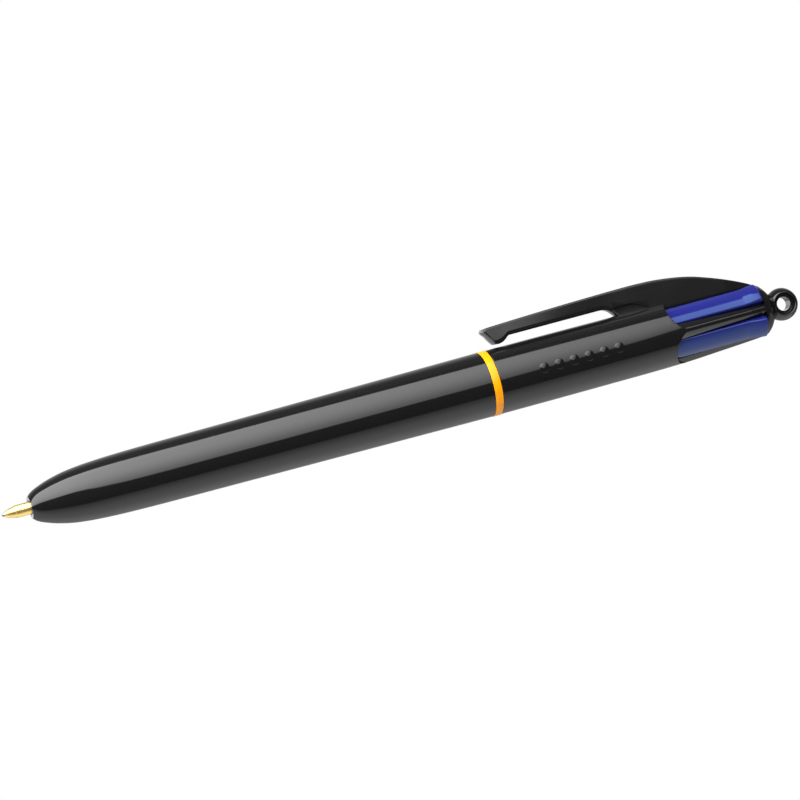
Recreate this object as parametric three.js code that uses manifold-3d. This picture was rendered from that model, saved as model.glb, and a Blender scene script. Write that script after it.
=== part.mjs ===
// A click pen with four refills. It lies along X with its writing tip at -X, its lanyard ball at +X
// and its pocket clip on top (+Z). Lengths are millimetres. Places along the pen are stations: the
// distance from the end of the extended writing tip.
import * as THREE from "three";
import { mergeVertices } from "three/addons/utils/BufferGeometryUtils.js";
import Module from "manifold-3d";

const wasm = await Module();
wasm.setup();

// ---- driving dimensions ----
const LENGTH = 149.1; // end of the extended tip to the end of the ball
const BARREL_SIDES = 32;
const SMALL_SIDES = 12;
const TOUCH = 0.3; // what is left between faces that touch on the real pen

const RING_RADIUS = 5.86; // the widest place of the pen
const RING_START = 89;
const RING_END = 90.4;
const NOSE_FACE = 5.1;
const NOSE_HOLE_RADIUS = 1.27;

const SPIGOT_START = 83;
const SPIGOT_RADIUS = 4.45;
const THREAD_RADIUS = 4.65;
const THREAD_PITCH = 2;
const SOCKET_RADIUS = 4.85;

const UPPER_RADIUS = 5.77;
const UPPER_BORE = 4.96;
const SLOT_START = 124.4;
const RIB_END = 141.6;
const RIB_BOTTOM = 4.0; // height of a rib's inner face above the pen's axis
const RIB_SHOULDER = 4.7;

const BALL_RADIUS = 2.95;
const BALL_STATION = LENGTH - BALL_RADIUS;
const LANYARD_HOLE_RADIUS = 1.25;
const LANYARD_RIM_RADIUS = 2.05;

const CLIP_HALF_WIDTH = 1.8;
const FIN_HALF_WIDTH = 1.5;
const CLIP_SEAM = 113.6; // where the springy arm leaves the stiff fin

const REFILL_OFFSET = 2.5; // a parked refill's distance from the pen's axis
const REFILL_BACK = 10; // how far a parked refill lies behind an extended one
const BEND_START = 10; // an extended refill swings from the axis to its own place between these
const BEND_END = 85;
const TUBE_RADIUS = 1.15;
const TUBE_BORE = 0.85;
const TIP_RADIUS = 1.12;
const TIP_CONE = 2.45;
const TIP_LENGTH = 7.4;
const PLUG_RADIUS = 0.7;
const WRITING_BALL_RADIUS = 0.38;

const DISC_START = 93.3;
const DISC_END = 95.8;
const POST_RADIUS = 0.7;

const SLIDER_FRONT = 118;
const SLIDER_REAR = 141.5;
const SLIDER_RADIUS = 4.82;
const SLIDER_INNER_RADIUS = 3.3;
const SLIDER_HALF_ANGLE = THREE.MathUtils.degToRad(28.5);
const THUMB_RADIUS = 5.15;
const SPRING_SEAT = 109.8; // front of the flange on a parked slider's stem
const SPRING_SEAT_RADIUS = 1.65;
const SPRING_RADIUS = 1.5;
const SPRING_WIRE_RADIUS = 0.15;
const SPRING_TURNS = 7;

// The four colour units, turned about the pen's axis from the clip; left and right are as seen from
// the ball's end. One unit is pressed forward and latched, with its tip out of the nose.
const UNITS = [
  { name: "top_left", angle: 45, pressed: false },
  { name: "bottom_left", angle: 135, pressed: false },
  { name: "bottom_right", angle: 225, pressed: true },
  { name: "top_right", angle: 315, pressed: false },
];

// ---- colours ----
const BLACK_PLASTIC = new THREE.MeshStandardMaterial({ color: 0x131315, roughness: 0.2 });
const YELLOW_PLASTIC = new THREE.MeshStandardMaterial({ color: 0xf2b21c, roughness: 0.35 });
const BLUE_PLASTIC = new THREE.MeshStandardMaterial({ color: 0x26309a, roughness: 0.25 });
const WHITE_PLASTIC = new THREE.MeshStandardMaterial({ color: 0xd9d9d4, roughness: 0.5 });
const CLEAR_PLASTIC = new THREE.MeshStandardMaterial({ color: 0xb8bcc4, roughness: 0.3 });
const BRASS = new THREE.MeshStandardMaterial({ color: 0xc9a14e, roughness: 0.3, metalness: 1 });
const STEEL = new THREE.MeshStandardMaterial({ color: 0xb9bcc2, roughness: 0.3, metalness: 1 });

// ---- shapes ----
function solidOf(geometry) {
  const bare = geometry.index ? geometry.toNonIndexed() : geometry.clone();
  bare.deleteAttribute("normal");
  bare.deleteAttribute("uv");
  const merged = mergeVertices(bare, 1e-4);
  const corners = merged.index.array;
  const triangles = [];
  for (let i = 0; i < corners.length; i += 3) {
    const [a, b, c] = corners.slice(i, i + 3);
    if (a !== b && b !== c && c !== a) triangles.push(a, b, c);
  }
  const mesh = new wasm.Mesh({
    numProp: 3,
    vertProperties: merged.attributes.position.array,
    triVerts: new Uint32Array(triangles),
  });
  return new wasm.Manifold(mesh);
}

function geometryOf(solid) {
  const mesh = solid.getMesh();
  const geometry = new THREE.BufferGeometry();
  geometry.setAttribute("position", new THREE.BufferAttribute(mesh.vertProperties, 3));
  geometry.setIndex(new THREE.BufferAttribute(mesh.triVerts, 1));
  return geometry;
}

const along = (station) => station - LENGTH / 2;

// A solid turned about the pen's axis, or about a line `offset` above it. The outline's points are
// [station, radius]; it starts and ends on the axis, or closes on itself.
function turned(outline, sides = BARREL_SIDES, offset = 0) {
  const points = outline.map(([station, radius]) => new THREE.Vector2(radius, along(station)));
  const geometry = new THREE.LatheGeometry(points, sides, Math.PI / sides);
  geometry.rotateZ(-Math.PI / 2);
  geometry.translate(0, 0, offset);
  return solidOf(geometry);
}

function rod(from, to, radius, offset = 0) {
  const outline = [[from, 0], [from, radius], [to, radius], [to, 0]];
  return turned(outline, SMALL_SIDES, offset);
}

// A side view, [station, height above the pen's axis], given a width across the pen.
function plate(outline, halfWidth) {
  const shape = new THREE.Shape(outline.map(([station, z]) => new THREE.Vector2(along(station), z)));
  const geometry = new THREE.ExtrudeGeometry(shape, { depth: 2 * halfWidth, bevelEnabled: false });
  geometry.translate(0, 0, -halfWidth);
  geometry.rotateX(Math.PI / 2);
  return solidOf(geometry);
}

// A cross-section, [y, z], drawn out along the pen.
function bar(section, from, to) {
  const shape = new THREE.Shape(section.map(([y, z]) => new THREE.Vector2(y, z)));
  const geometry = new THREE.ExtrudeGeometry(shape, { depth: to - from, bevelEnabled: false });
  const lengthAlongX = new THREE.Matrix4().set(0, 0, 1, along(from), 1, 0, 0, 0, 0, 1, 0, 0, 0, 0, 0, 1);
  return solidOf(geometry.applyMatrix4(lengthAlongX));
}

// The cross-section of a ring's part on either side of +Z.
function sector(inner, outer, halfAngle) {
  const steps = 6;
  const arc = (radius, from, to) =>
    Array.from({ length: steps + 1 }, (_, i) => {
      const angle = from + ((to - from) * i) / steps;
      return [radius * Math.sin(angle), radius * Math.cos(angle)];
    });
  return [...arc(inner, -halfAngle, halfAngle), ...arc(outer, halfAngle, -halfAngle)];
}

// Points of a circle's arc as [station, radius]; angles in degrees from the +X direction.
function arcPoints(station, radius, from, to, steps) {
  return Array.from({ length: steps + 1 }, (_, i) => {
    const angle = THREE.MathUtils.degToRad(from + ((to - from) * i) / steps);
    return [station + radius * Math.cos(angle), Math.max(0, radius * Math.sin(angle))];
  });
}

function node(name, solid, material) {
  const mesh = new THREE.Mesh(geometryOf(solid), material);
  mesh.name = name;
  return mesh;
}

// ---- casing ----
const noseOutline = [
  [NOSE_FACE, 1.94],
  [5.9, 2.47],
  [7.0, 3.1],
  [8.8, 3.74],
  [10.6, 4.2],
  [12.3, 4.54],
  [15.8, 4.95],
  [21.1, 5.2],
  [31.6, 5.38],
  [71, 5.69],
  [RING_START - TOUCH, 5.81],
];

function lowerBarrel() {
  const bore = [
    [RING_START - TOUCH, SOCKET_RADIUS],
    [SPIGOT_START - 0.5, SOCKET_RADIUS],
    [SPIGOT_START - 0.5, 4.3],
    [16, 4.1],
    [12.4, 3.85],
    [9.9, 3.2],
    [6, NOSE_HOLE_RADIUS],
    [NOSE_FACE, NOSE_HOLE_RADIUS],
  ];
  return turned([...noseOutline, ...bore, noseOutline[0]]);
}

function jointRing() {
  const inner = THREAD_RADIUS + 0.1;
  return turned([
    [RING_START, inner],
    [RING_START, RING_RADIUS],
    [RING_END, RING_RADIUS],
    [RING_END, inner],
    [RING_START, inner],
  ]);
}

const upperOutline = [
  [RING_END + TOUCH, UPPER_RADIUS],
  [118, UPPER_RADIUS],
  [124.4, 5.62],
  [128, 5.48],
  [134, 5.1],
  [138.5, 4.87],
  [RIB_END, 4.72],
];

// A rib between two slots: thin at the outside, with slanted sides.
const ribSection = [
  [-1.1, RIB_BOTTOM],
  [1.1, RIB_BOTTOM],
  [1.25, RIB_SHOULDER],
  [0.33, 5.75],
  [-0.33, 5.75],
  [-1.25, RIB_SHOULDER],
];

function upperBarrel() {
  const bodyEnd = upperOutline[0][0];
  const thread = [0, 1, 2].flatMap((turn) => {
    const start = SPIGOT_START + 0.8 + turn * THREAD_PITCH;
    const crest = THREAD_RADIUS;
    return [[start, SPIGOT_RADIUS], [start + 0.4, crest], [start + 0.8, crest], [start + 1.2, SPIGOT_RADIUS]];
  });
  const tube = turned([
    [SPIGOT_START, 3.9],
    [SPIGOT_START, SPIGOT_RADIUS],
    ...thread,
    [bodyEnd, SPIGOT_RADIUS],
    ...upperOutline.slice(0, 3),
    [SLOT_START, UPPER_BORE],
    [DISC_START - TOUCH, UPPER_BORE],
    [DISC_START - TOUCH, 3.9],
    [SPIGOT_START, 3.9],
  ]);
  const envelope = turned([[bodyEnd, 0], ...upperOutline, [RIB_END, 0]]);
  const rib = bar(ribSection, SLOT_START - 3, RIB_END).intersect(envelope);
  return [90, 180, 270].reduce((made, angle) => made.add(rib.rotate([angle, 0, 0])), tube);
}

function endCap() {
  const front = RIB_END + TOUCH;
  const socket = POST_RADIUS + 0.15;
  const dome = [[front, 4.6], [142.4, 4.26], [142.9, 3.8], [143.4, 3.28], [143.9, 2.66], [144.2, 2.35]];
  const body = turned([
    [front + 1, 0],
    [front + 1, socket],
    [front - 2.4, socket],
    [front - 2.4, 1.5],
    [front, 1.5],
    ...dome,
    ...arcPoints(BALL_STATION, BALL_RADIUS, 122, 0, 8),
  ]);
  const flareHeight = Math.sqrt(BALL_RADIUS ** 2 - LANYARD_RIM_RADIUS ** 2);
  const flare = (LANYARD_RIM_RADIUS - LANYARD_HOLE_RADIUS) / (flareHeight - 1);
  const reach = BALL_RADIUS + 0.5;
  const mouth = LANYARD_RIM_RADIUS + flare * (reach - flareHeight);
  const halfHole = [[mouth, reach], [LANYARD_HOLE_RADIUS, 1]];
  const holeOutline = [
    [0, -reach],
    ...halfHole.map(([radius, y]) => [radius, -y]),
    ...halfHole.map(([radius, y]) => [radius, y]).reverse(),
    [0, reach],
  ].map(([radius, y]) => new THREE.Vector2(radius, y));
  const hole = new THREE.LatheGeometry(holeOutline, 20).translate(along(BALL_STATION), 0, 0);
  return body.subtract(solidOf(hole));
}

// ---- pocket clip ----
function clipArm() {
  return plate(
    [
      [90.85, 9.5],
      [92.3, 6.85],
      [92.8, 6.38],
      [93.6, 6.38],
      [95.2, 7.3],
      [CLIP_SEAM - TOUCH, 7.3],
      [CLIP_SEAM - TOUCH, 10.15],
      [100.3, 9.83],
      [92.1, 9.62],
    ],
    CLIP_HALF_WIDTH,
  );
}

function clipFin() {
  const blade = plate(
    [
      [CLIP_SEAM, 7.3],
      [114.5, 7.15],
      [115.3, 6.55],
      [115.75, 5.92],
      [SLOT_START + TOUCH, 5.92],
      [SLOT_START + TOUCH, 5.3],
      [140.2, 5.3],
      [138.5, 6.25],
      [135.7, 7.41],
      [131.9, 8.64],
      [128.2, 9.48],
      [124.4, 10.02],
      [121, 10.2],
      [CLIP_SEAM, 10.2],
    ],
    FIN_HALF_WIDTH,
  );
  const keelLine = [
    [SLOT_START + TOUCH, 3.5],
    [RIB_END, 3.5],
    [RIB_END, 4.75],
    [140.9, 5],
    [139.8, 5.5],
    [SLOT_START + TOUCH, 5.5],
  ];
  const keel = bar(ribSection, SLOT_START, RIB_END).intersect(plate(keelLine, 2));
  return blade.add(keel);
}

// ---- inside ----
function guideDisc() {
  const disc = turned([[DISC_START, 0], [DISC_START, 4.7], [DISC_END, 4.7], [DISC_END, 0]]);
  const hole = rod(DISC_START - 1, DISC_END + 1, TUBE_RADIUS + 0.15, REFILL_OFFSET);
  return UNITS.reduce((made, unit) => made.subtract(hole.rotate([unit.angle, 0, 0])), disc);
}

// A thumb slider, parked, on the +Z side: its shell in the slot, a latch web under it, and a stem
// with the spring's flange and the plug that the refill is pushed on.
function slider() {
  const shell = bar(sector(SLIDER_INNER_RADIUS, SLIDER_RADIUS, SLIDER_HALF_ANGLE), SLIDER_FRONT, SLIDER_REAR);
  const thumbLine = [
    [137.5, 4],
    [SLIDER_REAR, 4],
    [SLIDER_REAR, 4.9],
    [141.2, THUMB_RADIUS],
    [140.5, THUMB_RADIUS],
    [138.3, 4.6],
  ];
  const thumbSection = sector(SLIDER_INNER_RADIUS, THUMB_RADIUS, SLIDER_HALF_ANGLE);
  const thumb = plate(thumbLine, 3).intersect(bar(thumbSection, SLIDER_FRONT, SLIDER_REAR));
  const web = bar([[-0.9, 1.4], [0.9, 1.4], [0.9, 3.8], [-0.9, 3.8]], SLIDER_FRONT + 1, 134);
  const stem = rod(SPRING_SEAT + 1, SLIDER_FRONT + 1.5, 1.2, REFILL_OFFSET);
  const flange = rod(SPRING_SEAT, SPRING_SEAT + 1.4, SPRING_SEAT_RADIUS, REFILL_OFFSET);
  const plug = rod(SPRING_SEAT - 4.8, SPRING_SEAT + 0.5, PLUG_RADIUS, REFILL_OFFSET);
  return [thumb, web, stem, flange, plug].reduce((made, part) => made.add(part), shell);
}

class Helix extends THREE.Curve {
  constructor(from, to) {
    super();
    this.from = from;
    this.to = to;
  }
  getPoint(t, target = new THREE.Vector3()) {
    const angle = 2 * Math.PI * SPRING_TURNS * t;
    return target.set(
      along(this.from + (this.to - this.from) * t),
      SPRING_RADIUS * Math.sin(angle),
      REFILL_OFFSET + SPRING_RADIUS * Math.cos(angle),
    );
  }
}

function circle(radius, sides) {
  return Array.from({ length: sides }, (_, i) => {
    const angle = (2 * Math.PI * i) / sides;
    return new THREE.Vector2(radius * Math.cos(angle), radius * Math.sin(angle));
  });
}

function spring(seat) {
  const inset = TOUCH + SPRING_WIRE_RADIUS;
  const path = new Helix(DISC_END + inset, seat - inset);
  const wire = new THREE.Shape(circle(SPRING_WIRE_RADIUS, 5));
  return solidOf(new THREE.ExtrudeGeometry(wire, { steps: 8 * SPRING_TURNS, extrudePath: path }));
}

// An extended refill's centre line: on the pen's axis at the tip, out at its own place by the disc.
class RefillBend extends THREE.Curve {
  constructor(from, to) {
    super();
    this.from = from;
    this.to = to;
  }
  getPoint(t, target = new THREE.Vector3()) {
    const station = this.from + (this.to - this.from) * t;
    const bend = THREE.MathUtils.smoothstep(station, BEND_START, BEND_END);
    return target.set(along(station), 0, REFILL_OFFSET * bend);
  }
}

function refillTube(tipEnd, pressed) {
  const from = tipEnd + TIP_LENGTH + TOUCH;
  const to = tipEnd + SPRING_SEAT - REFILL_BACK - TOUCH;
  if (!pressed) {
    const outline = [[from, TUBE_BORE], [from, TUBE_RADIUS], [to, TUBE_RADIUS], [to, TUBE_BORE], [from, TUBE_BORE]];
    return turned(outline, SMALL_SIDES, REFILL_OFFSET);
  }
  const wall = new THREE.Shape(circle(TUBE_RADIUS, SMALL_SIDES));
  wall.holes.push(new THREE.Path(circle(TUBE_BORE, SMALL_SIDES)));
  return solidOf(new THREE.ExtrudeGeometry(wall, { steps: 16, extrudePath: new RefillBend(from, to) }));
}

function refillTip(tipEnd, offset) {
  const shoulder = tipEnd + TIP_CONE;
  const outline = [
    [tipEnd + 0.85, 0],
    [tipEnd + 0.85, 0.5],
    [tipEnd + 1.6, 0.78],
    [shoulder, 1.02],
    [shoulder, TIP_RADIUS],
    [tipEnd + TIP_LENGTH, TIP_RADIUS],
    [tipEnd + TIP_LENGTH, PLUG_RADIUS],
    [tipEnd + TIP_LENGTH + 2.5, PLUG_RADIUS],
    [tipEnd + TIP_LENGTH + 2.5, 0],
  ];
  return turned(outline, SMALL_SIDES, offset);
}

function writingBall(tipEnd, offset) {
  const outline = arcPoints(tipEnd + WRITING_BALL_RADIUS, WRITING_BALL_RADIUS, 180, 0, 6);
  return turned(outline, 8, offset);
}

// One colour unit, built on the +Z side and turned to its slot.
function colourUnit({ name, angle, pressed }) {
  const tipEnd = pressed ? 0 : REFILL_BACK;
  const tipOffset = pressed ? 0 : REFILL_OFFSET;
  const forward = pressed ? REFILL_BACK : 0;
  const unit = new THREE.Group();
  unit.rotation.x = THREE.MathUtils.degToRad(angle);
  const thumbSlider = node("slider_" + name, slider(), BLUE_PLASTIC);
  thumbSlider.position.x = -forward;
  unit.add(
    thumbSlider,
    node("spring_" + name, spring(SPRING_SEAT - forward), STEEL),
    node("refill_tube_" + name, refillTube(tipEnd, pressed), CLEAR_PLASTIC),
    node("refill_tip_" + name, refillTip(tipEnd, tipOffset), BRASS),
    node("writing_ball_" + name, writingBall(tipEnd, tipOffset), STEEL),
  );
  return unit;
}

// ---- the pen, resting on the ring's lowest facet ----
const pen = new THREE.Group();
pen.position.z = RING_RADIUS * Math.cos(Math.PI / BARREL_SIDES);
pen.add(
  node("lower_barrel", lowerBarrel(), BLACK_PLASTIC),
  node("joint_ring", jointRing(), YELLOW_PLASTIC),
  node("upper_barrel", upperBarrel(), BLACK_PLASTIC),
  node("end_cap", endCap(), BLACK_PLASTIC),
  node("clip_arm", clipArm(), BLACK_PLASTIC),
  node("clip_fin", clipFin(), BLACK_PLASTIC),
  node("guide_disc", guideDisc(), WHITE_PLASTIC),
  node("center_post", rod(DISC_END + TOUCH, RIB_END + 0.6, POST_RADIUS), WHITE_PLASTIC),
  ...UNITS.map(colourUnit),
);

export default pen;
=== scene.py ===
"""The looks of a click pen with four refills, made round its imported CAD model.

The pen lies along X, its writing tip at -X and its pocket clip on top. Sizes are millimetres where
no comment says metres. Places along the pen are stations, the distance from the end of the extended
writing tip.
"""

import math

import bmesh
import bpy
from mathutils import Matrix, Vector


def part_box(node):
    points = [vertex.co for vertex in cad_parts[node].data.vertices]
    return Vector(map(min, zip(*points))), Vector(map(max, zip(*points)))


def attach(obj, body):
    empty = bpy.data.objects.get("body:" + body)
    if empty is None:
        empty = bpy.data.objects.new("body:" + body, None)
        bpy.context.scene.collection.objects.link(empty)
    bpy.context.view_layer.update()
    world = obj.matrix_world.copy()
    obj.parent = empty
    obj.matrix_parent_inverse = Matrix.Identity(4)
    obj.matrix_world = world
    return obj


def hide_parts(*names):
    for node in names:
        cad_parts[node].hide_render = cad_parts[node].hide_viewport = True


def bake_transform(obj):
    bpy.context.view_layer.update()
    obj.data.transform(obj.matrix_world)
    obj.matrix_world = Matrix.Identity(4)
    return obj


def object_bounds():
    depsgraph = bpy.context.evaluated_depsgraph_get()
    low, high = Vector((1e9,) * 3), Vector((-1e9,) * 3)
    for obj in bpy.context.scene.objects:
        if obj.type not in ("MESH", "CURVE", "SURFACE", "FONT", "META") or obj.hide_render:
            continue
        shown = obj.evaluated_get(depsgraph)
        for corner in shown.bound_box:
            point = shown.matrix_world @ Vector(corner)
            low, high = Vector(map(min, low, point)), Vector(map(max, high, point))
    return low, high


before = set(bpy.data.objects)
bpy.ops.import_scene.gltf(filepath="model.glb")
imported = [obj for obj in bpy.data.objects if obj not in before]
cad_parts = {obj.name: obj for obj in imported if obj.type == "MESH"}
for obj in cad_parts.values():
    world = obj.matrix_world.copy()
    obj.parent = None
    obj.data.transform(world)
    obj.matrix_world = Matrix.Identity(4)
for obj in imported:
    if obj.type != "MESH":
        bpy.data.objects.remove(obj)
cad_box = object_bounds()

MM = 0.001
TIP_END = cad_box[0].x
AXIS_HEIGHT = (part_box("lower_barrel")[0].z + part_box("lower_barrel")[1].z) / 2


def station_of(node, end):
    """The station where a CAD node starts (end 0) or stops (end 1)."""
    return (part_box(node)[end].x - TIP_END) / MM


SIDES = 160  # facets round a turned piece of the barrel

# stations
NOSE_FACE = station_of("lower_barrel", 0)
RING_START = station_of("joint_ring", 0)
RING_END = station_of("joint_ring", 1)
RIB_END = station_of("upper_barrel", 1)
LENGTH = station_of("end_cap", 1)
CLIP_FRONT = station_of("clip_arm", 0)
SLIDER_REAR = station_of("slider_top_left", 1)
DISC_BACK = 96.0  # the springs' front seat
SPRING_SEAT = 109.8  # a parked slider's flange
SLOT_FRONT = 123.65
SLOT_FLOOR_FRONT = 126  # from here a slot's floor falls to the rear
BORE_END = 123.5  # the barrel's wide bore ends just in front of the slots
CLIP_BEND_FRONT, CLIP_BEND_BACK = 110, 116
CLIP_ROOT = 115.9  # the clip joins the barrel behind it
CLIP_END = 142.1
BEND_FRONT, BEND_BACK = 18, 85  # a refill bends between these
INK_LEVEL = 86

# radii and other sizes
RING_RADIUS = 5.86
BORE_RADIUS = 4.96
BALL_RADIUS = 2.96
SLIDER_RADIUS = 4.82
SLIDER_HALF_ANGLE = 26.4
SLOT_NOSE = 2.9  # how far its round front end reaches
SLOT_HALF_WIDTH = 3.75
RIB_HALF_WIDTH = 0.36
CLAW_HALF_WIDTH = 1.95
FIN_HALF_WIDTH = 1.5
REFILL_OFFSET = 2.5  # a parked refill's distance from the pen's axis
REFILL_BACK = 10  # how far behind the pressed one the parked refills stand
TUBE_RADIUS = 1.15
TIP_RADIUS = 1.12
TIP_LENGTH = 7.4
DOT_START, DOT_PITCH, DOT_COUNT, DOT_RADIUS = 98.8, 2.85, 6, 0.95

# name, degrees about the axis from the clip, pressed forward, ink
UNITS = [
    ("top_left", 45, False, (0.02, 0.05, 0.45)),
    ("bottom_left", 135, False, (0.02, 0.25, 0.08)),
    ("bottom_right", 225, True, (0.01, 0.01, 0.012)),
    ("top_right", 315, False, (0.5, 0.02, 0.02)),
]


def place(station, y=0.0, z=0.0):
    """A point from its station, its distance across and its height above the axis."""
    return Vector((TIP_END + station * MM, y * MM, AXIS_HEIGHT + z * MM))


# ---------------------------------------------------------------- curves


def smooth_line(points, step):
    """Points every step or so on one smooth line through these, with no overshoot."""
    slopes = [(b[1] - a[1]) / (b[0] - a[0]) for a, b in zip(points, points[1:])]
    tangents = [slopes[0]]
    for before, after in zip(slopes, slopes[1:]):
        same_way = before * after > 0
        tangents.append(2 * before * after / (before + after) if same_way else 0.0)
    tangents.append(slopes[-1])
    line = []
    for i, (a, b) in enumerate(zip(points, points[1:])):
        width = b[0] - a[0]
        count = max(1, round(abs(width) / step))
        for k in range(count):
            t = k / count
            height = a[1] * (2 * t**3 - 3 * t**2 + 1) + b[1] * (3 * t**2 - 2 * t**3)
            height += width * tangents[i] * (t**3 - 2 * t**2 + t)
            height += width * tangents[i + 1] * (t**3 - t**2)
            line.append((a[0] + width * t, height))
    return line + [tuple(points[-1])]


def height_on(line, station):
    """The height of a smooth line's points at a station."""
    for a, b in zip(line, line[1:]):
        if a[0] <= station <= b[0]:
            return a[1] + (b[1] - a[1]) * (station - a[0]) / (b[0] - a[0])
    return line[0][1] if station < line[0][0] else line[-1][1]


def arc(station, height, radius, start, stop, steps):
    """Points of a circle's arc; degrees from the +X direction towards +Z."""
    turns = [math.radians(start + (stop - start) * i / steps) for i in range(steps + 1)]
    return [(station + radius * math.cos(a), height + radius * math.sin(a)) for a in turns]


def ease(t):
    """A smooth step from 0 to 1."""
    t = min(max(t, 0.0), 1.0)
    return t * t * (3 - 2 * t)


# ---------------------------------------------------------------- modelling


def deselect():
    """Object mode with nothing selected."""
    if bpy.context.mode != "OBJECT":
        bpy.ops.object.mode_set(mode="OBJECT")
    bpy.ops.object.select_all(action="DESELECT")


def take(obj):
    deselect()
    obj.select_set(True)
    bpy.context.view_layer.objects.active = obj
    return obj


def named(name):
    """Names the object just added and puts its place in its mesh."""
    obj = bpy.context.object
    obj.name = name
    obj.data.name = name
    bpy.ops.object.transform_apply(location=True, rotation=True, scale=True)
    return obj


def draw_outline(name, points):
    """A line of edges through points, drawn by extruding one vertex; left in edit mode."""
    deselect()
    bpy.ops.mesh.primitive_plane_add(size=MM)
    obj = named(name)
    bpy.ops.object.mode_set(mode="EDIT")
    bpy.ops.mesh.select_all(action="SELECT")
    bpy.ops.mesh.merge(type="CENTER")
    bpy.ops.transform.translate(value=points[0])
    for a, b in zip(points, points[1:]):
        bpy.ops.mesh.extrude_region_move(TRANSFORM_OT_translate={"value": b - a})
    return obj


def clean(obj, distance=1e-6):
    """Merges vertices that lie closer than distance, in metres, and turns the faces outwards."""
    take(obj)
    bpy.ops.object.mode_set(mode="EDIT")
    bpy.ops.mesh.select_all(action="SELECT")
    bpy.ops.mesh.remove_doubles(threshold=distance)
    bpy.ops.mesh.normals_make_consistent(inside=False)
    bpy.ops.object.mode_set(mode="OBJECT")
    return obj


def smooth(obj, degrees=35):
    take(obj)
    bpy.ops.object.shade_smooth_by_angle(angle=math.radians(degrees))
    return obj


def turned(name, outline, sides=SIDES, offset=0.0, axis=(1, 0, 0), centre=None):
    """A solid of revolution: outline points are (station, radius)."""
    centre = centre or place(0, 0, offset)
    if axis == (1, 0, 0):
        points = [place(s, 0, offset + r) for s, r in outline]
    else:
        points = [centre + Vector((r * MM, s * MM, 0)) for s, r in outline]
    obj = draw_outline(name, points)
    bpy.ops.mesh.select_all(action="SELECT")
    bpy.ops.mesh.spin(steps=sides, angle=2 * math.pi, center=centre, axis=axis, use_auto_merge=True)
    return smooth(clean(obj))


def drawn(name, outline, low, high, across=True):
    """A flat outline made a solid: (station, height) points given a width across the pen, or, with
    across False, (station, y) points given a height."""
    if across:
        points = [place(s, low, h) for s, h in outline]
        step = Vector((0, (high - low) * MM, 0))
    else:
        points = [place(s, y, low) for s, y in outline]
        step = Vector((0, 0, (high - low) * MM))
    obj = draw_outline(name, points)
    bpy.ops.mesh.select_all(action="SELECT")
    bpy.ops.mesh.edge_face_add()
    bpy.ops.mesh.extrude_region_move(TRANSFORM_OT_translate={"value": step})
    return clean(obj)


def lofted(name, sections):
    """A skin over closed sections of equally many points."""
    deselect()
    count = len(sections[0])
    bpy.ops.mesh.primitive_circle_add(vertices=count, radius=MM, fill_type="NOTHING")
    obj = named(name)
    bpy.ops.object.mode_set(mode="EDIT")
    for section in sections:
        if section is not sections[0]:
            bpy.ops.mesh.extrude_region_move()
        mesh = bmesh.from_edit_mesh(obj.data)
        ring = [v for v in mesh.verts if v.select]
        ring.sort(key=lambda v: v.index)
        for vert, point in zip(ring, section):
            vert.co = point
        bmesh.update_edit_mesh(obj.data)
    bpy.ops.mesh.edge_face_add()
    deselect()
    return obj


def modify(obj, kind, **settings):
    take(obj)
    modifier = obj.modifiers.new(kind.title(), kind)
    for key, value in settings.items():
        setattr(modifier, key, value)
    bpy.ops.object.modifier_apply(modifier=modifier.name)
    return obj


def cut(obj, *cutters, operation="DIFFERENCE"):
    for cutter in cutters:
        modify(obj, "BOOLEAN", object=cutter, operation=operation, solver="EXACT")
        bpy.data.objects.remove(cutter)
    return obj


def rounded(obj, width, segments=3, degrees=35):
    """Every edge sharper than degrees gets a small round."""
    return modify(
        obj,
        "BEVEL",
        width=width * MM,
        segments=segments,
        limit_method="ANGLE",
        angle_limit=math.radians(degrees),
        miter_outer="MITER_ARC",
        use_clamp_overlap=False,
    )


def joined(*objs):
    deselect()
    for obj in objs:
        obj.select_set(True)
    bpy.context.view_layer.objects.active = objs[0]
    bpy.ops.object.join()
    return objs[0]


def copy_of(obj, name):
    twin = obj.copy()
    twin.data = obj.data.copy()
    twin.name = name
    twin.data.name = name
    bpy.context.collection.objects.link(twin)
    return twin


def about_axis(obj, degrees):
    """Turns a piece's mesh about the pen's axis."""
    centre = place(0)
    turn = Matrix.Rotation(math.radians(degrees), 4, "X")
    obj.data.transform(Matrix.Translation(centre) @ turn @ Matrix.Translation(-centre))
    return obj


def fill_ends(piece):
    """Closes the open ends of a shell."""
    take(piece)
    bpy.ops.object.mode_set(mode="EDIT")
    bpy.ops.mesh.select_all(action="DESELECT")
    bpy.ops.mesh.select_non_manifold(extend=False)
    bpy.ops.mesh.fill_holes(sides=0)
    deselect()
    return piece


# ---------------------------------------------------------------- shader maths


class Value:
    """A shader socket that Python's operators work on."""

    def __init__(self, graph, socket):
        self.graph = graph
        self.socket = socket

    def maths(self, operation, *values):
        inputs = dict(enumerate(values))
        return self.graph.node("ShaderNodeMath", {"operation": operation}, inputs)

    def __add__(self, other):
        return self.maths("ADD", self, other)

    def __sub__(self, other):
        return self.maths("SUBTRACT", self, other)

    def __rsub__(self, other):
        return self.maths("SUBTRACT", other, self)

    def __mul__(self, other):
        return self.maths("MULTIPLY", self, other)

    __radd__ = __add__
    __rmul__ = __mul__

    def ramp(self, low, high):
        """0 below low, 1 above high, and smooth between; low may be above high."""
        settings = {"interpolation_type": "SMOOTHSTEP"}
        return self.graph.node("ShaderNodeMapRange", settings, {0: self, 1: low, 2: high})


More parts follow.
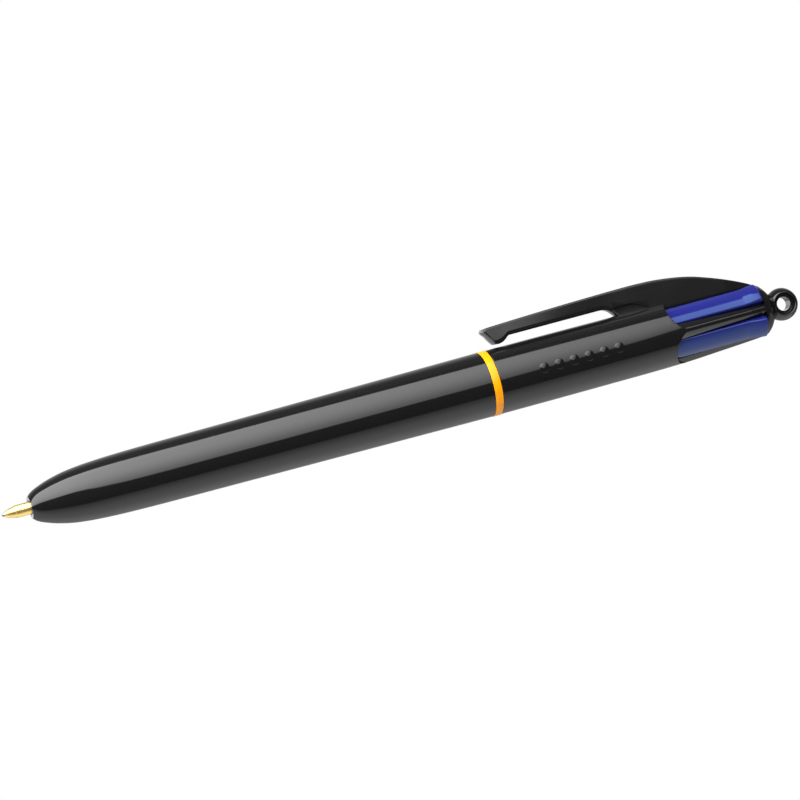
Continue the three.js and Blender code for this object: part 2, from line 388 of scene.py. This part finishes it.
class Graph:
    """The nodes of one material or light."""

    def __init__(self, owner):
        owner.use_nodes = True
        self.tree = owner.node_tree

    def link(self, value, socket):
        if isinstance(value, Value):
            self.tree.links.new(value.socket, socket)
        elif socket.type == "RGBA" and len(value) == 3:
            socket.default_value = (*value, 1.0)
        else:
            socket.default_value = value

    def node(self, kind, settings, inputs, output=0):
        made = self.tree.nodes.new(kind)
        for key, value in settings.items():
            setattr(made, key, value)
        for key, value in inputs.items():
            self.link(value, made.inputs[key])
        return Value(self, made.outputs[output])

    def part_of(self, vector, axis):
        return self.node("ShaderNodeSeparateXYZ", {}, {0: vector}, axis)

    def mix(self, factor, first, second):
        inputs = {0: factor, 6: first, 7: second}
        return self.node("ShaderNodeMix", {"data_type": "RGBA"}, inputs, 2)


class Finish(Graph):
    """One material: a Principled shader whose sockets take numbers, colours or Values."""

    def __init__(self, name, constants=()):
        self.material = bpy.data.materials.new(name)
        super().__init__(self.material)
        self.shader = self.tree.nodes["Principled BSDF"]
        for socket, value in dict(constants).items():
            self.set(socket, value)

    def set(self, socket, value):
        self.link(value, self.shader.inputs[socket])

    def place(self):
        return self.node("ShaderNodeTexCoord", {}, {}, "Object")

    def stretched(self, scale):
        return self.node("ShaderNodeMapping", {}, {"Vector": self.place(), "Scale": scale})

    def noise(self, scale, detail=2.0, where=None):
        inputs = {"Vector": where or self.place(), "Scale": scale, "Detail": detail}
        return self.node("ShaderNodeTexNoise", {}, inputs)

    def bump(self, height, distance):
        return self.node("ShaderNodeBump", {}, {"Height": height, "Distance": distance}, "Normal")


# metres
WAVE_HEIGHT = 2.2e-6
GROOVE_DEPTH = 6e-8
FROST_DEPTH = 2e-6


def moulded(name, colour, dust, roughness, constants=()):
    """Polished injection-moulded plastic: slightly wavy, with hairline scratches and some dust."""
    finish = Finish(name, constants)
    hairlines = finish.noise(2600, 3.0, finish.stretched((0.04, 1, 1)))
    cloud = finish.noise(140)
    specks = finish.noise(1900).ramp(0.66, 0.76)
    finish.set("Base Color", finish.mix(specks * 0.5, colour, dust))
    finish.set("Roughness", hairlines * 0.05 + cloud * 0.05 + specks * 0.08 + roughness)
    finish.set("Normal", finish.bump(cloud + hairlines * 0.06, WAVE_HEIGHT))
    return finish


def turned_metal(name, colour, roughness, metallic=1.0):
    """Metal cut on a lathe: fine grooves round the pen's axis."""
    finish = Finish(name, {"Metallic": metallic})
    grooves = finish.noise(9000, 2.0, finish.stretched((1, 0.01, 0.01)))
    stain = finish.noise(700)
    finish.set("Base Color", finish.mix(stain * 0.35, colour, [c * 0.78 for c in colour]))
    finish.set("Roughness", grooves * 0.06 + roughness)
    finish.set("Normal", finish.bump(grooves, GROOVE_DEPTH))
    return finish


CARBON_BLACK, GREY_DUST = (0.0058, 0.0058, 0.0062), (0.011, 0.011, 0.011)
BLACK = moulded("black_plastic", CARBON_BLACK, GREY_DUST, 0.03)
CLIP_BLACK = moulded("clip_black_plastic", CARBON_BLACK, GREY_DUST, 0.12)
YELLOW = moulded(
    "yellow_plastic",
    (0.97, 0.34, 0.003),
    (0.85, 0.36, 0.02),
    0.16,
    {"Specular IOR Level": 0.22},
)
BLUE = moulded(
    "blue_plastic",
    (0.013, 0.015, 0.145),
    (0.026, 0.03, 0.15),
    0.04,
    {"Specular IOR Level": 0.62, "Specular Tint": (0.37, 0.67, 1.0)},
)
WHITE = moulded("white_plastic", (0.68, 0.68, 0.64), (0.6, 0.6, 0.57), 0.34)
BRASS = turned_metal("brass", (0.92, 0.67, 0.23), 0.26, 0.92)
STEEL = turned_metal("spring_steel", (0.58, 0.58, 0.6), 0.2)
CARBIDE = turned_metal("ball_carbide", (0.42, 0.42, 0.44), 0.1)


def ink_tube(name, ink):
    """Frosted tube: ink shows through up to its level, and the rest of the tube is empty."""
    finish = Finish(name)
    along = finish.part_of(finish.place(), "X")
    level = place(INK_LEVEL).x
    empty = along.ramp(level, level + 2 * MM)
    frost = finish.noise(2500, 3.0)
    ink_seen = [0.75 * c + 0.03 for c in ink]
    finish.set("Base Color", finish.mix(empty, ink_seen, (0.72, 0.76, 0.8)))
    finish.set("Roughness", frost * 0.15 + 0.28)
    finish.set("Normal", finish.bump(frost, FROST_DEPTH))
    return finish


def dress(obj, finish, body=None, replaces=()):
    """Gives a piece its finish and says which body it rides on and which nodes it replaces."""
    obj.data.materials.clear()
    obj.data.materials.append(finish.material)
    if body:
        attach(obj, body)
    if replaces:
        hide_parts(*replaces)
    return obj


# ---------------------------------------------------------------- barrel

barrel_line = smooth_line(
    [
        (NOSE_FACE + 0.12, 2.06),
        (5.6, 2.42),
        (6.3, 2.84),
        (7.0, 3.14),
        (7.9, 3.48),
        (8.8, 3.78),
        (10.5, 4.22),
        (12.2, 4.56),
        (14.0, 4.79),
        (15.8, 4.96),
        (21.0, 5.22),
        (28.0, 5.35),
        (44.0, 5.47),
        (62.0, 5.61),
        (RING_START, 5.81),
    ],
    0.7,
)


def make_lower_barrel():
    """The front shell: a socket for the thread, then a bore that narrows to the nose hole."""
    inside = [
        (RING_START, 4.85),
        (82.5, 4.85),
        (82.5, 4.3),
        (16.0, 4.1),
        (12.4, 3.85),
        (9.9, 3.2),
        (6.0, 1.27),
        (NOSE_FACE + 0.06, 1.27),
    ]
    nose = [(NOSE_FACE, 1.33), (NOSE_FACE, 1.94)]
    end = [(RING_START - 0.06, 5.81), (RING_START, 5.75)]
    outline = nose + barrel_line[:-1] + end + inside
    piece = turned("barrel_front", outline + [outline[0]])
    dress(piece, BLACK, "lower_barrel", ["lower_barrel"])


def make_joint_ring():
    low, high, inner = RING_START, RING_END, 4.75
    edge = 0.1
    outline = [
        (low, inner),
        (low, RING_RADIUS - edge),
        *arc(low + edge, RING_RADIUS - edge, edge, 180, 90, 4)[1:],
        *arc(high - edge, RING_RADIUS - edge, edge, 90, 0, 4),
        (high, inner),
        (low, inner),
    ]
    piece = turned("yellow_ring", outline)
    dress(piece, YELLOW, "joint_ring", ["joint_ring"])


rear_line = smooth_line(
    [
        (RING_END, 5.79),
        (100.0, 5.78),
        (112.0, 5.73),
        (119.0, 5.7),
        (124.4, 5.61),
        (127.8, 5.49),
        (132.0, 5.26),
        (136.0, 5.04),
        (139.0, 4.86),
        (RIB_END, 4.68),
    ],
    0.8,
)


def slot_floor(station):
    """How far from the axis the flats beside a slider lie, to leave ribs of one width."""
    radius = height_on(rear_line, station)
    return radius * math.cos(math.radians(45) - RIB_HALF_WIDTH / radius)


def slot_cutter(index):
    """The open top of one slot: round corners in front, and a floor that falls to the rear."""
    end, centre = RIB_END + 2, SLOT_FRONT + SLOT_NOSE
    turns = [math.radians(90 + 7.5 * i) for i in range(25)]
    nose = [(centre + SLOT_NOSE * math.cos(a), SLOT_HALF_WIDTH * math.sin(a)) for a in turns]
    outline = [(end, SLOT_HALF_WIDTH), *nose, (end, -SLOT_HALF_WIDTH)]
    front, back = slot_floor(SLOT_FLOOR_FRONT), slot_floor(RIB_END)
    cutter = drawn(f"slot_{index}", outline, front, 9.0, across=False)
    fall = (back - front) / (RIB_END - SLOT_FLOOR_FRONT)
    for vert in cutter.data.vertices:
        vert.co.z += fall * (vert.co.x - place(SLOT_FLOOR_FRONT).x)
    return cutter


def channel_cutter(index):
    """The opening that a slider runs in, under the barrel's wall in front of the slot."""
    half = (SLIDER_RADIUS + 0.06) * math.sin(math.radians(SLIDER_HALF_ANGLE + 0.4))
    start, end = BORE_END - 0.2, RIB_END + 2
    outline = [(start, half), (start, -half), (end, -half), (end, half)]
    return drawn(f"channel_{index}", outline, 3.0, 4.94, across=False)


def make_upper_barrel():
    """The rear shell with its threaded spigot, its slots and ribs, and the dots on its side."""
    spigot, spigot_bore, rib_floor = 4.45, 3.9, 3.35
    spigot_end, bore_start = 83.0, 93.0
    thread = []
    for turn in range(3):
        start = 83.8 + 2 * turn
        ridge = [(start + 0.4, 4.65), (start + 0.8, 4.65)]
        thread += [(start, spigot), *ridge, (start + 1.2, spigot)]
    outline = [
        (spigot_end, spigot_bore),
        (spigot_end, spigot - 0.15),
        (spigot_end + 0.15, spigot),
        *thread,
        (RING_END, spigot),
        (RING_END, 5.73),
        (RING_END + 0.06, 5.79),
        *rear_line[1:],
        (RIB_END, rib_floor),
        (BORE_END, rib_floor),
        (BORE_END, BORE_RADIUS),
        (bore_start, BORE_RADIUS),
        (bore_start, spigot_bore),
        (spigot_end, spigot_bore),
    ]
    piece = turned("barrel_rear", outline, sides=192)
    for index, (_, angle, _, _) in enumerate(UNITS):
        slot = about_axis(slot_cutter(index), angle)
        channel = about_axis(channel_cutter(index), angle)
        cut(piece, slot, channel)
    clean(piece, 5e-6)
    rounded(piece, 0.12, degrees=38)
    smooth(piece, 50)
    dots = [raised_dot(i) for i in range(DOT_COUNT)]
    piece = joined(piece, *dots)
    dress(piece, BLACK, "upper_barrel", ["upper_barrel"])


def raised_dot(index):
    """One of a plain row of low dots moulded on the barrel's side."""
    station = DOT_START + DOT_PITCH * index
    surface = height_on(rear_line, station)
    deselect()
    spot = place(station, 0.1 - surface, 0.15)
    bpy.ops.mesh.primitive_uv_sphere_add(
        segments=48,
        ring_count=24,
        radius=DOT_RADIUS * MM,
        location=spot,
        scale=(1, 0.25, 1),
    )
    return smooth(named(f"dot_{index}"), 180)


def make_end_cap():
    """The dome that closes the barrel, with the lanyard ball behind it."""
    dome = smooth_line(
        [
            (RIB_END, 4.68),
            (142.0, 4.56),
            (142.4, 4.3),
            (142.8, 3.95),
            (143.2, 3.5),
            (143.9, 2.55),
        ],
        0.12,
    )
    collar, stop = 139.5, RIB_END - 0.2  # round the center post, and between the ribs
    outline = [
        (RIB_END + 0.6, 0),
        (RIB_END + 0.6, 0.85),
        (collar, 0.85),
        (collar, 1.5),
        (stop, 1.5),
        (stop, 3.3),
        (RIB_END, 3.3),
        *dome,
        (144.1, 2.3),
        (144.3, 2.2),
        (144.3, 0),
    ]
    piece = turned("end_cap_ball", outline, sides=128)
    cut(piece, make_lanyard_ball(), operation="UNION")
    clean(piece, 2e-6)
    smooth(piece, 40)
    dress(piece, BLACK, "upper_barrel", ["end_cap"])


def make_lanyard_ball():
    """A ball with a hole across it, flared at both ends to a rounded rim."""
    rim = [(2.06, 2.11), (2.08, 2.05), (2.06, 1.99), (1.98, 1.93)]
    half = [*arc(0, 0, BALL_RADIUS, 90, 46.5, 18), *rim, (1.3, 1.6), (1.28, 1.25)]
    outline = [(-s, r) for s, r in reversed(half)] + half[1:]
    outline.append(outline[0])
    centre = place(LENGTH - BALL_RADIUS)
    return turned("ball", outline, sides=112, axis=(0, 1, 0), centre=centre)


# ---------------------------------------------------------------- clip

clip_top = smooth_line(
    [
        (CLIP_FRONT, 9.5),
        (96.0, 9.7),
        (104.0, 9.95),
        (112.0, 10.12),
        (118.5, 10.2),
        (122.4, 10.12),
        (126.2, 9.77),
        (130.0, 9.12),
        (133.7, 8.0),
        (137.4, 6.6),
        (140.3, 5.3),
        (142.2, 4.18),
    ],
    0.5,
)
clip_underside = smooth_line(
    [
        (92.0, 6.95),
        (92.4, 6.5),
        (93.1, 6.25),
        (94.0, 6.42),
        (94.7, 6.85),
        (95.3, 7.3),
        (112.9, 7.3),
        (114.2, 6.98),
        (115.2, 6.1),
        (CLIP_ROOT, 5.2),
    ],
    0.25,
)


def clip_section(foot, crown, bottom, top, low_width, high_width):
    """A rounded upright section; its foot stands at one station and its crown at another."""
    height = top - bottom
    low = min(0.7, height * 0.35)
    high = min(0.3, height * 0.2)
    side = arc(low_width - low, bottom + low, low, -90, 0, 6)
    crest = arc(high_width - high, top - high, high, 0, 90, 6)
    start, rise = side[-1][1], crest[0][1] - side[-1][1]
    for share in (0.05, 0.5, 0.95):
        side.append((low_width + (high_width - low_width) * share, start + rise * share))
    side += crest
    loop = side + [(-y, z) for y, z in reversed(side)]
    return [place(foot + (crown - foot) * (z - bottom) / height, y, z) for y, z in loop]


def clip_at(share):
    """One section of the clip, from the claw at share 0 to the fin's rear end at share 1.

    The claw's front leans forward, its top corner is round and its sides draw in upwards."""
    lean, corner_radius = 1.75, 0.5
    crown = CLIP_FRONT + (CLIP_END - CLIP_FRONT) * share
    foot = crown + lean * (1 - ease(share * 9))
    top = height_on(clip_top, crown)
    corner = max(0.0, corner_radius - (crown - CLIP_FRONT))
    top -= corner_radius - math.sqrt(corner_radius**2 - corner**2)
    bottom = height_on(clip_underside, foot)
    if foot > CLIP_ROOT:
        bottom = max(4.2, 5.2 - 0.6 * (foot - CLIP_ROOT))
    bottom = min(bottom, top - 0.15)
    width = CLAW_HALF_WIDTH - (CLAW_HALF_WIDTH - FIN_HALF_WIDTH) * ease((foot - 96) / 20)
    width -= 0.35 * ease((foot - 136) / 6)
    draft = 0.1 * (1 - ease((foot - 97) / 14))
    return clip_section(foot, crown, bottom, top, width, width - draft)


def make_clip():
    """Arm and fin in one."""
    steps = 170
    piece = lofted("pocket_clip", [clip_at(i / steps) for i in range(steps + 1)])
    fill_ends(piece)
    clean(piece)
    for side in (-1, 1):
        cut(piece, clip_recess(side))
    clean(piece, 5e-6)
    rounded(piece, 0.12, degrees=42)
    smooth(piece, 42)
    dress(piece, CLIP_BLACK)
    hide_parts("clip_arm", "clip_fin")
    bend_front, bend_back = tuple(place(CLIP_BEND_FRONT)), tuple(place(CLIP_BEND_BACK))
    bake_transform(piece)


def clip_recess(side):
    """The shallow arched hollow at the root of the clip, one on each side."""
    top = smooth_line(
        [
            (114.6, 6.75),
            (115.3, 7.0),
            (116.6, 7.1),
            (118.4, 7.06),
            (120.0, 6.5),
            (121.5, 5.6),
        ],
        0.2,
    )
    outline = [*top, (121.5, 4.9), (114.6, 4.9)]
    floor = 1.28
    cutter = drawn(f"recess_{side + 1}", outline, floor * side, 2.4 * side)
    for vert in cutter.data.vertices:
        if abs(vert.co.y) < 1.5 * MM:
            vert.co.y -= side * 0.09 * (vert.co.z - place(0, 0, 5.0).z)
    return clean(cutter)


# ---------------------------------------------------------------- colour units


def slider_section(station, outer):
    """One section of a slider's curved bar; outer is its crown's distance from the axis."""
    inner, face = 3.4, 4.9  # the radii of its two faces
    half = SLIDER_RADIUS * math.sin(math.radians(SLIDER_HALF_ANGLE))
    points = []
    for i in range(21):
        y = half * (i / 10 - 1)
        points.append(place(station, y, outer - face + math.sqrt(face**2 - y**2)))
    for i in range(7):
        y = half * (1 - i / 3) * 0.86
        points.append(place(station, y, math.sqrt(inner**2 - y**2)))
    return points


def make_slider():
    """A parked slider's bar, its web on the center post and its stem in the refill."""
    top = SLIDER_RADIUS - 0.07
    line = [(118.0, top), (119.0, top), (130.0, top), (138.0, top), (138.12, top + 0.01)]
    line += [(138.24, top + 0.03), (139.6, 4.98), (140.9, 5.18), (SLIDER_REAR - 0.02, 5.12)]
    shell = lofted("slider_shell", [slider_section(s, r) for s, r in line])
    fill_ends(shell)
    clean(shell)
    rounded(shell, 0.3, segments=4, degrees=38)
    web = drawn("slider_web", [(119, 1.4), (134, 1.4), (134, 3.6), (119, 3.6)], -0.9, 0.9)
    rounded(web, 0.12, degrees=60)
    stem_line = [
        (SPRING_SEAT - 4.8, 0),
        (SPRING_SEAT - 4.8, 0.55),
        (SPRING_SEAT - 4.5, 0.7),
        (SPRING_SEAT, 0.7),
        (SPRING_SEAT, 1.55),
        (SPRING_SEAT + 0.1, 1.65),
        (SPRING_SEAT + 1.3, 1.65),
        (SPRING_SEAT + 1.4, 1.2),
        (119.4, 1.2),
        (119.4, 0),
    ]
    stem = turned("slider_stem", stem_line, sides=48, offset=REFILL_OFFSET)
    return joined(smooth(shell, 40), smooth(web, 40), stem)


def make_tip():
    """A parked refill's brass tip, from the lip that holds the ball to the plug in the tube."""
    end = REFILL_BACK
    cone = [(end + 0.42, 0.4), (end + 1.1, 0.7), (end + 1.8, 0.9), (end + 2.42, 1.03)]
    outline = [
        (end + 0.95, 0),
        (end + 0.8, 0.28),
        (end + 0.4, 0.36),
        *smooth_line(cone, 0.1),
        (end + 2.45, 1.09),
        (end + 2.52, TIP_RADIUS),
        (end + TIP_LENGTH, TIP_RADIUS),
        (end + TIP_LENGTH + 0.02, 0.7),
        (end + TIP_LENGTH + 2.5, 0.7),
        (end + TIP_LENGTH + 2.5, 0),
    ]
    return turned("tip", outline, sides=64, offset=REFILL_OFFSET)


def make_ball():
    """A parked refill's writing ball."""
    deselect()
    bpy.ops.mesh.primitive_uv_sphere_add(
        segments=32,
        ring_count=16,
        radius=0.37 * MM,
        location=place(REFILL_BACK + 0.38, 0, REFILL_OFFSET),
        rotation=(0, math.pi / 2, 0),
    )
    return smooth(named("ball"), 180)


def make_tube():
    """A parked refill's tube, in enough rings to bend smoothly."""
    start, stop = REFILL_BACK + TIP_LENGTH + 0.1, SPRING_SEAT - 0.1
    count = 60
    marks = [start + (stop - start) * i / count for i in range(count + 1)]
    outline = [(s, TUBE_RADIUS) for s in marks] + [(s, 0.85) for s in reversed(marks)]
    return turned("tube", outline + [outline[0]], sides=32, offset=REFILL_OFFSET)


def make_spring(seat):
    """A coil between the guide disc and a slider's flange, screwed about X before it is placed."""
    wire, coil, turns, gap = 0.15, 1.5, 7, 0.05
    length = seat - DISC_BACK - 2 * wire - 2 * gap
    deselect()
    bpy.ops.mesh.primitive_circle_add(
        vertices=10,
        radius=wire * MM,
        location=place(0, 0, coil),
        rotation=(math.pi / 2, 0, 0),
    )
    piece = bpy.context.object
    bpy.ops.object.transform_apply(location=False, rotation=True, scale=True)
    piece.data.transform(Matrix.Translation((0, 0, coil * MM)))
    piece.location = (0, 0, 0)  # the modifier turns about the object's own axis
    modify(
        piece,
        "SCREW",
        axis="X",
        angle=2 * math.pi * turns,
        screw_offset=length * MM,
        steps=28 * turns,
        render_steps=28 * turns,
    )
    piece.data.transform(Matrix.Translation(place(DISC_BACK + wire + gap, 0, REFILL_OFFSET)))
    return smooth(clean(fill_ends(piece), 1e-7), 60)


def bend_refill(piece):
    """Brings the front of a refill in to the pen's axis, as its slider does when it is pressed."""
    for vert in piece.data.vertices:
        station = (vert.co.x - TIP_END) / MM
        straight = ease((station - BEND_FRONT) / (BEND_BACK - BEND_FRONT))
        vert.co.z -= REFILL_OFFSET * MM * (1 - straight)
    return piece


def make_units():
    """The four colour units, each copied from one parked unit and turned to its slot."""
    slider, tip, ball, tube = make_slider(), make_tip(), make_ball(), make_tube()
    springs = {False: make_spring(SPRING_SEAT), True: make_spring(SPRING_SEAT - REFILL_BACK)}
    tube_front, tube_back = tuple(place(BEND_FRONT)), tuple(place(BEND_BACK))
    spring_front = tuple(place(DISC_BACK))
    for name, angle, pressed, ink in UNITS:
        forward = REFILL_BACK if pressed else 0.0
        slider_body, tip_body = "slider_" + name, "refill_tip_" + name
        tube_finish = ink_tube("ink_tube_" + name, ink)
        pieces = {
            "thumb_slider_": (slider, BLUE, "blue_plastic", slider_body, "slider_"),
            "brass_tip_": (tip, BRASS, "brass", tip_body, "refill_tip_"),
            "ball_point_": (ball, CARBIDE, "spring_steel", tip_body, "writing_ball_"),
            "ink_tube_": (tube, tube_finish, "refill_tube", None, "refill_tube_"),
            "coil_spring_": (springs[pressed], STEEL, "spring_steel", None, "spring_"),
        }
        for prefix, (pattern, finish, slot, body, node) in pieces.items():
            piece = copy_of(pattern, prefix + name)
            if prefix != "coil_spring_":
                piece.data.transform(Matrix.Translation((-forward * MM, 0, 0)))
                if pressed and prefix != "thumb_slider_":
                    bend_refill(piece)
            about_axis(piece, angle)
            dress(piece, finish, body, [node + name])
            if prefix == "ink_tube_":
                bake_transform(piece)
            if prefix == "coil_spring_":
                spring_back = tuple(place(SPRING_SEAT - forward))
                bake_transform(piece)
    for pattern in (slider, tip, ball, tube, *springs.values()):
        bpy.data.objects.remove(pattern)


def dress_inner_parts():
    """The pieces that keep their CAD shape."""
    for node in ("guide_disc", "center_post"):
        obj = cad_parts[node]
        obj.data.materials.clear()
        obj.data.materials.append(WHITE.material)


# ---------------------------------------------------------------- studio


def aim(obj, target, roll):
    """Points an object at a place, rolled about the line of sight."""
    direction = (target - obj.location).normalized()
    turn = direction.to_track_quat("-Z", "Y")
    obj.rotation_mode = "QUATERNION"
    obj.rotation_quaternion = turn @ Matrix.Rotation(roll, 3, "Z").to_quaternion()


def make_camera():
    """A long lens level with the pen, turned a little towards the writing tip."""
    distance, turn, lift, tilt = 0.9, math.radians(15.0), math.radians(0.4), math.radians(-15.05)
    image_side = 800
    data = bpy.data.cameras.new("camera")
    data.lens = 231.5
    data.sensor_width = 36.0
    data.clip_start = 0.01
    camera = bpy.data.objects.new("camera", data)
    bpy.context.collection.objects.link(camera)
    centre = Vector((0, 0, AXIS_HEIGHT))
    back = Vector(
        (-math.sin(turn) * math.cos(lift), -math.cos(turn) * math.cos(lift), math.sin(lift))
    )
    camera.location = centre + back * distance
    aim(camera, centre, roll=tilt)
    data.shift_x = -7.5 / image_side
    data.shift_y = 5.5 / image_side
    bpy.context.scene.camera = camera


def soft_box(name, low, high, left, right, radiance):
    """A light card facing the pen; low and high are the (y, z) of its two long edges.

    radiance takes the x, y and z of a point on the card, in metres from the middle of the pen's
    axis, and gives how bright the card is there."""
    low, high = Vector((0, *low)), Vector((0, *high))
    height = (high - low).length
    length = right - left
    data = bpy.data.lights.new(name, "AREA")
    data.shape = "RECTANGLE"
    data.size = length
    data.size_y = height
    data.energy = math.pi * length * height
    light = bpy.data.objects.new(name, data)
    bpy.context.collection.objects.link(light)
    up = (high - low).normalized()
    across = Vector((1, 0, 0))
    facing = across.cross(up).normalized()
    middle = (low + high) / 2
    if facing.dot(middle) < 0:
        across = -across
        facing = -facing
    turn = Matrix((across, up, facing)).transposed()
    middle.x = (left + right) / 2
    middle.z += AXIS_HEIGHT
    light.matrix_world = Matrix.Translation(middle) @ turn.to_4x4()
    light.visible_camera = False
    graph = Graph(data)
    where = graph.node("ShaderNodeNewGeometry", {}, {}, "Position")
    x, y, z = (graph.part_of(where, axis) for axis in "XYZ")
    graph.link(radiance(x, y, z - AXIS_HEIGHT), graph.tree.nodes["Emission"].inputs["Strength"])


def front_glow(x, y, z):
    """Brightest overhead and towards the tip; it narrows and fades towards the rear."""
    low_edge = x.ramp(0.138, 0.338) * 0.27 + x.ramp(0.06, -0.1) * 0.1
    high_edge = 0.49 - x.ramp(0.0, 0.17) * 0.12
    level = z.ramp(0.0, 0.3) * 2.75 + 2.5
    fade = 1.0 - x.ramp(-0.15, 0.45)
    inside = (z - low_edge).ramp(-0.004, 0.012) * (high_edge - z).ramp(-0.004, 0.004)
    return level * fade * inside * 1.25


def back_glow(x, y, z):
    """A white wall behind: bright low down, dim overhead."""
    return 1.6 - z.ramp(0.05, 0.2) * 0.98 - z.ramp(0.2, 0.42) * 0.54


def floor_glow(x, y, z):
    """A white table: dimmer towards the camera and far behind."""
    level = y.ramp(-0.34, -0.03) * 0.8 + 0.35 - y.ramp(0.05, 0.42) * 0.65
    return level * (1.0 - x.ramp(0.22, 0.45) * 0.6)


def make_studio():
    """Three light cards, a white floor, and a world that is dim to all but the camera."""
    soft_box("front_card", (-0.5, 0.0), (0.0, 0.5), -2.0, 0.45, front_glow)
    soft_box("back_card", (0.62, -0.1), (0.0, 0.6), -0.8, 0.45, back_glow)
    soft_box("low_card", (-0.3, -0.3), (2.2, -0.3), -1.5, 1.5, floor_glow)

    bpy.ops.mesh.primitive_plane_add(size=6.0, location=(0, 0, -0.2 * MM))
    floor = named("floor")
    white = bpy.data.materials.new("floor_white")
    graph = Graph(white)
    nodes = graph.tree.nodes
    nodes.remove(nodes["Principled BSDF"])
    glow = graph.node("ShaderNodeEmission", {}, {})
    graph.link(glow, nodes["Material Output"].inputs["Surface"])
    floor.data.materials.append(white)
    floor.visible_diffuse = False
    floor.visible_glossy = False
    floor.visible_transmission = False
    floor.visible_shadow = False

    world = bpy.data.worlds.new("studio")
    bpy.context.scene.world = world
    graph = Graph(world)
    seen = graph.node("ShaderNodeLightPath", {}, {}, "Is Camera Ray")
    colour = graph.mix(seen, (0.09, 0.09, 0.09), (1, 1, 1))
    graph.link(colour, graph.tree.nodes["Background"].inputs["Color"])
    bpy.context.scene.view_settings.view_transform = "Standard"


make_camera()
make_lower_barrel()
make_joint_ring()
make_upper_barrel()
make_end_cap()
make_clip()
make_units()
dress_inner_parts()
make_studio()
